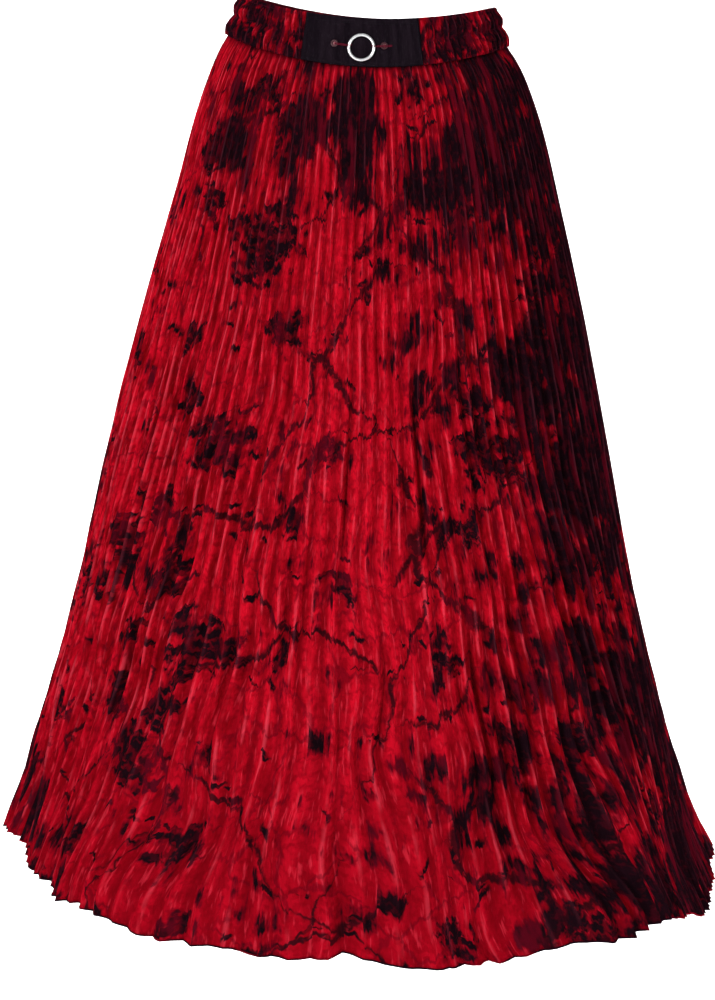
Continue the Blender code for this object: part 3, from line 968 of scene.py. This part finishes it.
def gathered_cloth(column, height):
    """The outer face of the gathered band."""
    trim = math.degrees(SEAM_GAP / BAND_SEAM_HALF_WIDTH)
    first = FRONT_PANEL_TURN + trim
    last = 360.0 - FRONT_PANEL_TURN - trim
    turn = first + (last - first) * (column + band_grain(GATHER_SWAY, column, height)) / GATHER_FLANKS
    heights = [gather.height for gather in GATHER_ROWS]
    ridge = np.interp(height, heights, [gather.ridge for gather in GATHER_ROWS])
    puff = np.interp(height, heights, [gather.puff for gather in GATHER_ROWS])
    ridge = ridge * (1 + band_grain(GATHER_CHANGE, column, height))
    up = smooth(1 - np.abs(column % 2 - 1), 0.0, 1.0)
    crumple = band_grain(BAND_CRUMPLE, column, height)
    swell = band_grain(BAND_SWELL, column, height)
    return band_point(turn, height, puff - ridge * (1 - up) + crumple + swell)


band_column, band_height = np.meshgrid(
    np.arange(GATHER_FLANKS * GATHER_STEPS + 1) / GATHER_STEPS, 1 - np.arange(BAND_ROWS + 1) / BAND_ROWS
)
band_turn = FRONT_PANEL_TURN + (360.0 - 2 * FRONT_PANEL_TURN) * band_column / GATHER_FLANKS
band_outer = gathered_cloth(band_column, band_height)
band_inner = band_inside(band_turn, band_height)
band_columns = both_faces(band_column)
band_heights = both_faces(band_height)
band_dye_and_shade = BAND_WASH + BAND_WASH_CHANGE * uneven(96, band_columns / 8.0, 0.0 * band_columns)
band_dye_and_shade = band_dye_and_shade + BAND_WASH_RISE * (band_columns / GATHERS - 1)
# Painted shade on the band's inner face.
band_dye_and_shade[band_column.size:] += BAND_INSIDE_SHADE


def band_bake_map(corners, inside):
    return bake_place(band_columns[corners] / GATHER_FLANKS, band_heights[corners], inside, 0.3, 0.33, 0.66)


def band_cloth_map(corners, inside):
    x = band_columns[corners] * BAND_PRINT_FLANK + PRINT_STEP * BAND_PIECE
    return np.stack([x, band_heights[corners] * BAND_PRINT_HEIGHT], axis=-1)


def band_pleat_map(corners, inside):
    x = band_columns[corners] + FLANK_STEP * BAND_PIECE
    return np.stack([x, band_heights[corners] * 1.10], axis=-1)


gathered = printed("gathered_printed_satin", dull=0.0, wash_shift=0.02, cloud_scale=28.0)
band_maps = {"OFBake": band_bake_map, "cloth": band_cloth_map, "pleats": band_pleat_map}
band = sewn_shell(
    "waistband_gathered", band_outer, band_inner, band_maps, band_dye_and_shade, (gathered, satin_inside)
)
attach(band, "root")
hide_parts("waistband_elastic")

# --- Plain front panel ----------------------------------------------------------------------------
# A stiffened flat strip of ribbed black cloth between the ends of the gathered band. Its edges are
# turned in, and a row of stitches runs a few millimetres inside each of them.
FRONT_COLUMNS = 200
FRONT_ROWS = 60
FRONT_HALF_LENGTH = 0.056
FRONT_HEIGHT = 0.0435
FRONT_TURNED_EDGE = 0.0012   # how far the edges are rounded back
FRONT_EDGE_ROUND = 0.0016    # and over how much of the cloth
FRONT_STITCH_HEIGHTS = (0.885, 0.06)
FRONT_STITCH_TURN = 23.9
CREASE_PULL = 0.00035        # how deep the stitches pull the cloth in
CREASE_WIDTH = 0.0006
TAB_LIFT = 0.0005            # of a thicker stretch of the top edge, to the left of the middle
RIB = 0.0011                 # from one rib of the cloth to the next


def front_cloth(turn, height):
    """The outer face of the front panel, with rounded edges and a crease along each row of stitches."""
    aside = (FRONT_PANEL_TURN - np.abs(turn)) / FRONT_PANEL_TURN * FRONT_HALF_LENGTH
    below = np.minimum(height, 1 - height) * FRONT_HEIGHT
    near = np.minimum(aside, below)
    out = -FRONT_TURNED_EDGE * (1 - smooth(near, 0.0, FRONT_EDGE_ROUND))
    for line in FRONT_STITCH_HEIGHTS:
        out = out - CREASE_PULL * np.exp(-((height - line) * FRONT_HEIGHT / CREASE_WIDTH) ** 2)
    out = out + 0.0006 * uneven(81, turn / 6.0, height / 0.5) * smooth(near, 0.0, 0.006)
    out = out + 0.00035 * uneven(82, turn / 1.3, height / 1.6) * smooth(near, 0.0, 0.003)
    tab = smooth(height, 0.895, 0.910) * smooth(turn, -9.2, -8.9) * (1 - smooth(turn, 0.4, 0.7))
    return band_point(turn, height, out + TAB_LIFT * tab)


def black_cloth(name):
    """Plain black ribbed cloth with a slightly blue, dusty bloom and a painted highlight on the ribs' crests.
    """
    bench = Bench(name)
    place = bench.add("UVMap", uv_map="cloth").outputs[0]
    x, _, _ = bench.split(place)
    rib = bench.calc("SINE", bench.calc("MULTIPLY", x, math.tau / RIB))
    yarn = bench.stretched_noise(place, 900.0, 260.0, 2.0)
    bloom = bench.stretched_noise(place, 170.0, 20.0, 3.0)
    colour = bench.layers(
        bench.blend(bench.step(bloom, 0.30, 0.75), (0.0040, 0.0022, 0.0038), (0.0100, 0.0060, 0.0092)),
        # Painted highlight on the ribs' crests, where the relief stands highest.
        (bench.step(rib, -1.0, 1.0, 0.0, 0.35), (0.016, 0.011, 0.016)),
        (bench.step(yarn, 0.55, 0.80, 0.0, 0.30), (0.030, 0.024, 0.030)),
    )
    height = bench.calc("MULTIPLY_ADD", rib, 0.5, bench.calc("MULTIPLY", yarn, 0.8))
    return bench.coat(colour, 0.62, height, 0.00018, 0.8)


front_turn, front_height = np.meshgrid(
    np.linspace(-FRONT_PANEL_TURN, FRONT_PANEL_TURN, FRONT_COLUMNS + 1),
    1 - np.arange(FRONT_ROWS + 1) / FRONT_ROWS,
)
front_outer = front_cloth(front_turn, front_height)
front_inner = band_inside(front_turn, front_height)
front_turns = both_faces(front_turn)
front_heights = both_faces(front_height)


def front_bake_map(corners, inside):
    across = front_turns[corners] / FRONT_PANEL_TURN / 2 + 0.5
    return bake_place(across, front_heights[corners], inside, 0.3, 0.33, 0.66)


def front_cloth_map(corners, inside):
    x = front_turns[corners] * FRONT_HALF_LENGTH / FRONT_PANEL_TURN
    return np.stack([x, front_heights[corners] * FRONT_HEIGHT], axis=-1)


black = black_cloth("plain_black_ribbed")
front_maps = {"OFBake": front_bake_map, "cloth": front_cloth_map}
front_panel = sewn_shell(
    "front_panel_cloth", front_outer, front_inner, front_maps, np.zeros(len(front_turns)), (black, black)
)
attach(front_panel, "root")
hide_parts("waistband_front")

# --- Stitches -------------------------------------------------------------------------------------
# Machine stitches of red-black thread down the middle and along the top of the gathered band, and of
# black thread inside the edges of the front panel, each a short raised loop pulled into the cloth.
STITCH = 0.0021
STITCH_GAP = 0.0007
THREAD = 0.00020
THREAD_SIDES = 5
KNOTS_ALONG = np.array([0.0, 0.25, 0.5, 0.75, 1.0])      # of a stitch's length
KNOTS_LIFT = np.array([-1.2, 0.5, 0.9, 0.5, -1.2])       # in thread radii
BAND_STITCH_HEIGHTS = (0.50, 0.94)


def add_stitch(points, faces, path):
    """Adds one stitch whose path lies on the cloth, raised in its middle, to a mesh's lists."""
    outward = unit(path * np.array([1.0, 1.0, 0.0]))
    path = path + outward * (THREAD * KNOTS_LIFT)[:, None]
    along = unit(np.gradient(path, axis=0))
    aside = unit(np.cross(along, outward))
    over = np.cross(aside, along)
    first = len(points)
    for knot in range(len(path)):
        for angle in np.arange(THREAD_SIDES) * math.tau / THREAD_SIDES:
            offset = over[knot] * math.sin(angle) + aside[knot] * math.cos(angle)
            points.append(tuple(path[knot] + offset * THREAD))
    last = len(points) - THREAD_SIDES
    for here in range(first, last, THREAD_SIDES):
        following = here + THREAD_SIDES
        for side in range(THREAD_SIDES):
            beside = (side + 1) % THREAD_SIDES
            faces.append((here + side, here + beside, following + beside, following + side))
    faces.append(tuple(reversed(range(first, first + THREAD_SIDES))))
    faces.append(tuple(range(last, last + THREAD_SIDES)))


def stitches(name, rows, surface):
    """One piece of small stitches along rows of surface points, each row dense and in order."""
    points = []
    faces = []
    for row in rows:
        steps = np.linalg.norm(np.diff(row, axis=0), axis=1)
        length = np.concatenate([[0.0], np.cumsum(steps)])
        count = int(length[-1] / (STITCH + STITCH_GAP))
        for index in range(count):
            marks = (index + 0.5) * length[-1] / count - STITCH / 2 + STITCH * KNOTS_ALONG
            path = np.stack([np.interp(marks, length, row[:, axis]) for axis in range(3)], axis=-1)
            add_stitch(points, faces, path)
    piece = smooth_piece(name, points, faces, surface)
    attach(piece, "root")


def thread_finish(name, low, high):
    """Twisted sewing thread."""
    bench = Bench(name)
    twist = bench.solid_noise(bench.add("TexCoord").outputs["Object"], 2400.0, 1.0)
    return bench.coat(bench.blend(twist, low, high), 0.5)


def band_row(height):
    """A row of points across the gathered band, from its second flank to the last but one."""
    column = np.arange(GATHER_STEPS, (GATHER_FLANKS - 1) * GATHER_STEPS + 1) / GATHER_STEPS
    return gathered_cloth(column, np.full(column.shape, height))


def front_rows():
    """Rows of points round the front panel: the upper, the lower, the left and the right one."""
    across = np.linspace(-FRONT_STITCH_TURN, FRONT_STITCH_TURN, 240)
    up = np.linspace(min(FRONT_STITCH_HEIGHTS), max(FRONT_STITCH_HEIGHTS), 60)
    level = [front_cloth(across, np.full(len(across), height)) for height in FRONT_STITCH_HEIGHTS]
    upright = [front_cloth(np.full(len(up), side * FRONT_STITCH_TURN), up) for side in (-1, 1)]
    return level + upright


wine_thread = thread_finish("wine_thread", (0.030, 0.004, 0.010), (0.100, 0.006, 0.020))
black_thread = thread_finish("black_thread", (0.006, 0.005, 0.007), (0.024, 0.020, 0.026))
band_rows = [band_row(height) for height in BAND_STITCH_HEIGHTS]
stitches("waistband_stitches", band_rows, wine_thread)
stitches("front_panel_stitches", front_rows(), black_thread)

# --- Ring -----------------------------------------------------------------------------------------
# A round ring of polished wire on the middle of the front panel, 27 mm across. Strands of dark red
# thread, drawn out of the eyelets, hold it down at both sides.
RING_WIRE = 0.0015
RING_RADIUS = 0.0118
RING_HEIGHT = 0.387          # on the front panel, as a share of its height
RING_STEPS = 128
RING_SIDES = 24
CLEARANCE = 0.0003           # between the cloth and the hard pieces that lie on it


def on_front_panel(turn, height, lift):
    """A seat on the front panel: X along it, Y up it, Z out of it, lifted off its face."""
    def at(turn, height):
        return Vector(band_point(np.array([turn]), np.array([height]), 0.0)[0])

    along = (at(turn + 0.5, height) - at(turn - 0.5, height)).normalized()
    up = (at(turn, height + 0.01) - at(turn, height - 0.01)).normalized()
    out = along.cross(up).normalized()
    up = out.cross(along)
    seat = Matrix((along, up, out)).transposed().to_4x4()
    seat.translation = at(turn, height) + out * lift
    return seat


def turned(name, profile, steps, seat, surface, closed=True):
    """A solid turned round its seat's Z axis from a profile of (radius, height) points."""
    angles = np.arange(steps) * math.tau / steps
    points = [
        seat @ Vector((radius * math.cos(angle), radius * math.sin(angle), height))
        for angle in angles
        for radius, height in profile
    ]
    count = len(profile)
    faces = []
    for step in range(steps):
        here = step * count
        following = (step + 1) % steps * count
        for index in range(count if closed else count - 1):
            beside = (index + 1) % count
            faces.append((here + index, following + index, following + beside, here + beside))
    if not closed:
        faces.append(tuple(step * count + count - 1 for step in range(steps)))
        faces.append(tuple(step * count for step in reversed(range(steps))))
    piece = smooth_piece(name, points, faces, surface)
    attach(piece, "root")
    return piece


def polished(name, colour, roughness, metallic):
    """A hard bright finish with fine wear, which darkens and dulls it."""
    bench = Bench(name)
    wear = bench.solid_noise(bench.add("TexCoord").outputs["Object"], 420.0, 3.0)
    wear_and_lit_streaks = tuple(0.82 * part for part in colour)
    bench.put(bench.surface["Base Color"], bench.blend(bench.step(wear, 0.35, 0.70), colour, wear_and_lit_streaks))
    bench.put(bench.surface["Roughness"], bench.step(wear, 0.3, 0.8, roughness, roughness + 0.12))
    bench.put(bench.surface["Metallic"], metallic)
    return bench.finish


wire = [
    (RING_RADIUS + RING_WIRE * math.cos(angle), RING_WIRE * math.sin(angle))
    for angle in np.arange(RING_SIDES) * math.tau / RING_SIDES
]
silver = polished("polished_silver", (0.96, 0.96, 0.97), 0.28, 1.0)
ring_seat = on_front_panel(0.0, RING_HEIGHT, RING_WIRE + CLEARANCE)
ring = turned("ring_wire", wire, RING_STEPS, ring_seat, silver)
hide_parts("ring")

# --- Eyelets --------------------------------------------------------------------------------------
# Two small round dark red eyelets, one to each side of the ring, with a rolled rim and a dome in
# the middle whose paler pink is a painted highlight.
EYELET_HEIGHT = 0.436        # on the front panel, as a share of its height
Eyelet = namedtuple("Eyelet", "node turn")
EYELETS = (Eyelet("eyelet_left", -11.0), Eyelet("eyelet_right", 9.2))
Turning = namedtuple("Turning", "radius height")
RIM_PROFILE = (
    Turning(0.0016, 0.0001),
    Turning(0.0033, 0.0001),
    Turning(0.0035, 0.0005),
    Turning(0.0034, 0.0010),
    Turning(0.0031, 0.0014),
    Turning(0.0026, 0.0016),
    Turning(0.0020, 0.0014),
    Turning(0.0017, 0.0010),
    Turning(0.0016, 0.0005),
)
DOME_PROFILE = (
    Turning(0.00155, 0.0001),
    Turning(0.00155, 0.0004),
    Turning(0.0013, 0.0008),
    Turning(0.0009, 0.0011),
    Turning(0.0004, 0.0012),
)
RIM_STEPS = 40
DOME_STEPS = 24

enamel = polished("dark_red_enamel", (0.050, 0.005, 0.010), 0.42, 0.0)
rose_highlight = polished("rose_dome_painted_highlight", (0.24, 0.075, 0.090), 0.38, 0.0)
for eyelet in EYELETS:
    seat = on_front_panel(eyelet.turn, EYELET_HEIGHT, CLEARANCE)
    rim = turned(eyelet.node + "_rim", RIM_PROFILE, RIM_STEPS, seat, enamel)
    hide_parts(eyelet.node)
    dome = turned(eyelet.node + "_dome", DOME_PROFILE, DOME_STEPS, seat, rose_highlight, closed=False)

# --- Thread that ties the ring --------------------------------------------------------------------
# Three strands of dark red thread at each side. They start in the left eyelet's middle and just beyond
# the right eyelet, run over its rim and over the ring's wire, and end in the cloth inside the ring.
Tack = namedtuple("Tack", "turn lift")
LEFT_TACK = (
    Tack(-11.0, 0.0012), Tack(-10.1, 0.0021), Tack(-9.4, 0.0019), Tack(-8.6, 0.0009), Tack(-7.1, 0.0007),
    Tack(-6.2, 0.0012), Tack(-5.7, 0.0030), Tack(-5.0, 0.0037), Tack(-4.4, 0.0030), Tack(-4.1, 0.0010),
    Tack(-4.0, -0.0003),
)
RIGHT_TACK = (
    Tack(12.6, -0.0003), Tack(12.3, 0.0006), Tack(11.2, 0.0010), Tack(10.6, 0.0019), Tack(9.2, 0.0020),
    Tack(7.8, 0.0019), Tack(7.2, 0.0009), Tack(6.3, 0.0011), Tack(5.7, 0.0030), Tack(5.0, 0.0037),
    Tack(4.4, 0.0030), Tack(4.1, 0.0010), Tack(4.0, -0.0003),
)
STRAND_RADIUS = 0.00032
STRAND_SIDES = 6
STRAND_HEIGHTS = (-0.020, -0.002, 0.017)    # above the eyelets' middle, as shares of the panel's height
ROUNDINGS = 2


def strand(tack, height):
    """One strand, its corners rounded off."""
    turns = np.array([point.turn for point in tack])
    lifts = np.array([point.lift for point in tack])
    share = np.linspace(0.0, 1.0, len(tack))
    heights = EYELET_HEIGHT + height * (0.55 + 0.45 * np.sin(6.0 * share + 50.0 * height))
    path = band_point(turns, heights, lifts)
    for _ in range(ROUNDINGS):
        near = path[:-1] * 0.75 + path[1:] * 0.25
        far = path[:-1] * 0.25 + path[1:] * 0.75
        path = np.concatenate([path[:1], np.stack([near, far], axis=1).reshape(-1, 3), path[-1:]])
    return path


red_thread = thread_finish("dark_red_thread", (0.055, 0.004, 0.010), (0.150, 0.012, 0.028))
strands = [strand(tack, height) for tack in (LEFT_TACK, RIGHT_TACK) for height in STRAND_HEIGHTS]
tacks = cloth_cord("ring_tacks", strands, STRAND_RADIUS, STRAND_SIDES, red_thread)
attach(tacks, "root")

# --- Floor, light and camera ----------------------------------------------------------------------
# A plain pale studio floor and a white room, a soft key and fill lamp on the skirt, two lamps that light
# the floor behind it and one high up behind it. The camera is at waist height and looks down, as in
# the photograph.
FLOOR_Z = -1.35
Cove = namedtuple("Cove", "radius height")
COVE = (
    Cove(3.0, 0.0),
    Cove(5.0, 0.0),
    Cove(5.5, 0.05),
    Cove(5.9, 0.22),
    Cove(6.2, 0.55),
    Cove(6.35, 1.0),
    Cove(6.4, 1.6),
    Cove(6.4, 3.0),
)
COVE_SIDES = 96
ROOM_LIGHT = 0.40

cove_points = [(0.0, 0.0, FLOOR_Z)]
cove_faces = []
for level, rim in enumerate(COVE):
    for side in range(COVE_SIDES):
        angle = side * math.tau / COVE_SIDES
        cove_points.append((rim.radius * math.cos(angle), rim.radius * math.sin(angle), FLOOR_Z + rim.height))
        here = 1 + level * COVE_SIDES + side
        beside = 1 + level * COVE_SIDES + (side + 1) % COVE_SIDES
        if level:
            cove_faces.append((here - COVE_SIDES, beside - COVE_SIDES, beside, here))
        else:
            cove_faces.append((0, beside, here))

pale = Bench("pale_floor")
patches = pale.noise(pale.add("TexCoord").outputs["Object"], 0.6, 2.0)
pale.put(pale.surface["Base Color"], pale.blend(patches, (0.90, 0.90, 0.90), (0.94, 0.94, 0.94)))
pale.put(pale.surface["Roughness"], 0.9)
floor = smooth_piece("studio_cove", cove_points, cove_faces, pale.finish)

world = bpy.data.worlds.new("white_room")
bpy.context.scene.world = world
world.use_nodes = True
world.node_tree.nodes["Background"].inputs["Color"].default_value = (1.0, 1.0, 1.0, 1.0)
world.node_tree.nodes["Background"].inputs["Strength"].default_value = ROOM_LIGHT


def soft_lamp(name, place, aim, width, height, power):
    """A rectangular lamp at a place, aimed at a point; sizes in metres, power in watts."""
    lamp = bpy.data.lights.new(name, "AREA")
    lamp.shape = "RECTANGLE"
    lamp.size = width
    lamp.size_y = height
    lamp.energy = power
    holder = in_scene(name, lamp)
    holder.location = place
    holder.rotation_euler = (Vector(aim) - Vector(place)).to_track_quat("-Z", "Y").to_euler()


soft_lamp("key_lamp", (-1.5, -2.7, 0.9), (0.0, 0.0, -0.45), 0.5, 1.4, 62.0)
soft_lamp("fill_lamp", (2.4, -1.9, 0.1), (0.0, 0.0, -0.5), 0.5, 1.4, 20.0)
soft_lamp("floor_lamp_left", (-1.6, 1.8, 2.2), (-1.3, 4.4, -1.2), 1.5, 1.5, 270.0)
soft_lamp("floor_lamp_right", (1.6, 1.8, 2.2), (1.3, 4.4, -1.2), 1.5, 1.5, 270.0)
soft_lamp("top_lamp", (0.0, 1.4, 2.6), (0.0, 1.3, -1.0), 1.6, 1.0, 55.0)

CAMERA_DISTANCE = 2.48
CAMERA_TURN = math.radians(3.5)
CAMERA_HEIGHT = 0.04
AIM = Vector((-0.010, 0.0, -0.481))
camera = bpy.data.objects.new("camera", bpy.data.cameras.new("camera"))
camera.location = (
    AIM.x + CAMERA_DISTANCE * math.sin(CAMERA_TURN),
    -CAMERA_DISTANCE * math.cos(CAMERA_TURN),
    CAMERA_HEIGHT,
)
camera.rotation_euler = (AIM - camera.location).to_track_quat("-Z", "Y").to_euler()
camera.data.sensor_width = 36.0
camera.data.lens = 89.28
bpy.context.scene.collection.objects.link(camera)
bpy.context.scene.camera = camera
bpy.context.scene.view_settings.view_transform = "Standard"
